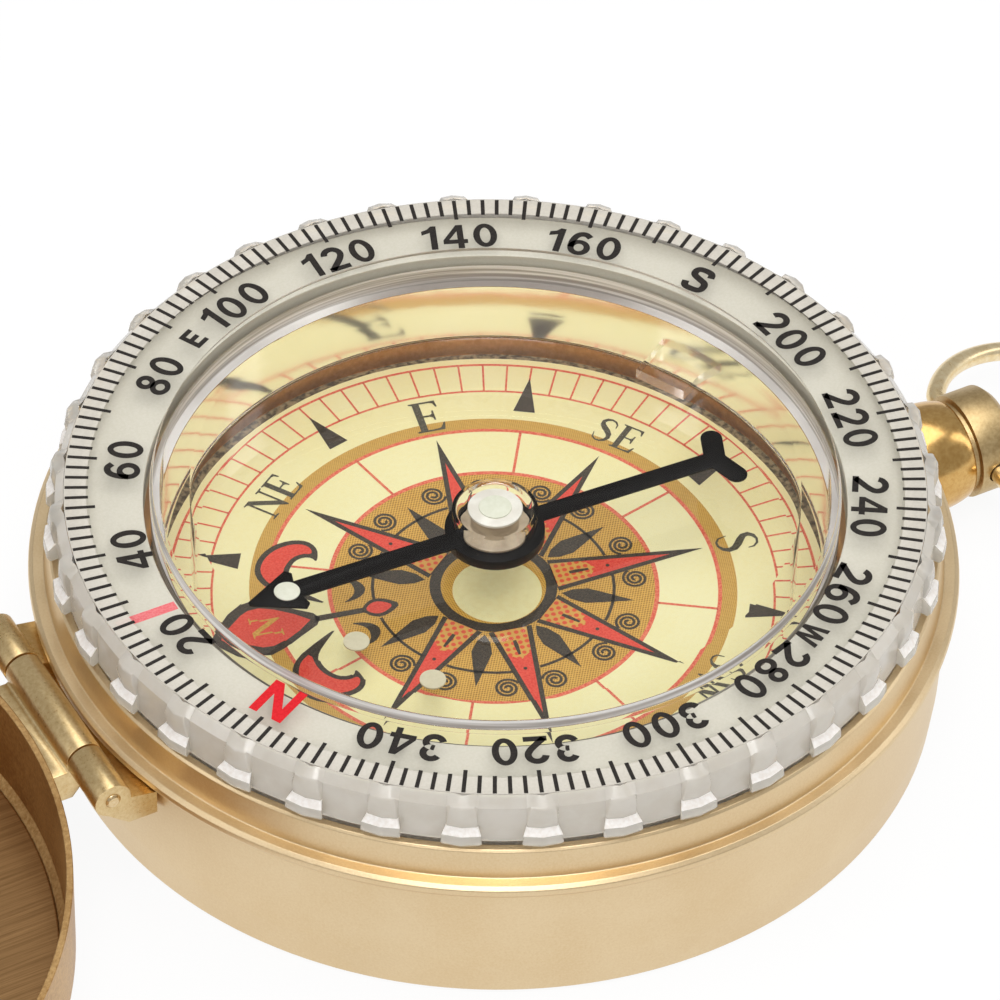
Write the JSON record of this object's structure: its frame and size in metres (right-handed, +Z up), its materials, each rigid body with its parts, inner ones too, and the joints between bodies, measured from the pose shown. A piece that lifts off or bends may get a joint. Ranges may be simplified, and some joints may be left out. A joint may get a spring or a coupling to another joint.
{
  "type": "pocket compass",
  "caption": "Round brass pocket compass with a hinged cup lid, a clear turning bezel over a compass-rose card, a fluid-damped needle on a pivot pin, and a pendant with a wire bow.",
  "frame": {"origin": "centre of the flat underside of the case, where it stands on the table", "axes": "+Z up through the window; +X from the case towards the pendant and bow; the lid lies open on the -X side, hinged about an axis along Y"},
  "size_m": [0.1119, 0.0464, 0.0132],
  "materials": {
    "case_brass": "satin",
    "pin_brass": "satin",
    "bow_brass": "polished",
    "liner_brass": "brushed",
    "spring_steel": "satin",
    "printed_card": "matte print",
    "index_plastic": "matte, luminous",
    "clear_plastic": "clear, polished",
    "dull_lume": "matte, luminous",
    "pale_lume": "matte, luminous",
    "black_paint": "satin black paint",
    "white_plastic": "gloss",
    "jewel": "polished"
  },
  "bodies": {
    "case": {"base_case": "case_brass", "dial_card": "printed_card", "index_ring": "index_plastic", "bezel_snap_ring": "spring_steel", "case_hinge_leaf": "case_brass", "hinge_pin": "pin_brass", "pendant_collar": "case_brass", "pendant_neck": "case_brass"},
    "bezel": {"bezel_crystal": "clear_plastic", "capsule_cup": "clear_plastic", "fill_plug": "clear_plastic", "orienting_dots": "dull_lume", "pivot_pin": "spring_steel"},
    "needle": {"needle": "black_paint", "needle_lume": "pale_lume", "bearing_post": "white_plastic", "jewel_bearing": "jewel", "hub_lume": "pale_lume", "needle_cap": "clear_plastic"},
    "lid": {"lid_shell": "case_brass", "lid_liner": "liner_brass", "lid_hinge_leaf": "case_brass"},
    "bow": {"bow": "bow_brass"}
  },
  "joints": [
    {"name": "lid_hinge", "type": "hinge", "parent": "case", "child": "lid", "pos_m": [-0.0243, 0, 0.00785], "axis": [0, 1, 0], "range_deg": [0, 180]},
    {"name": "bezel_turn", "type": "hinge", "parent": "case", "child": "bezel", "pos_m": [0, 0, 0.0085], "axis": [0, 0, 1], "continuous": true},
    {"name": "needle_pivot", "type": "hinge", "parent": "bezel", "child": "needle", "pos_m": [0, 0, 0.00836], "axis": [0, 0, 1], "continuous": true},
    {"name": "bow_swing", "type": "hinge", "parent": "case", "child": "bow", "pos_m": [0.02815, 0, 0.00355], "axis": [0, -1, 0], "range_deg": [-75, 105]}
  ]
}
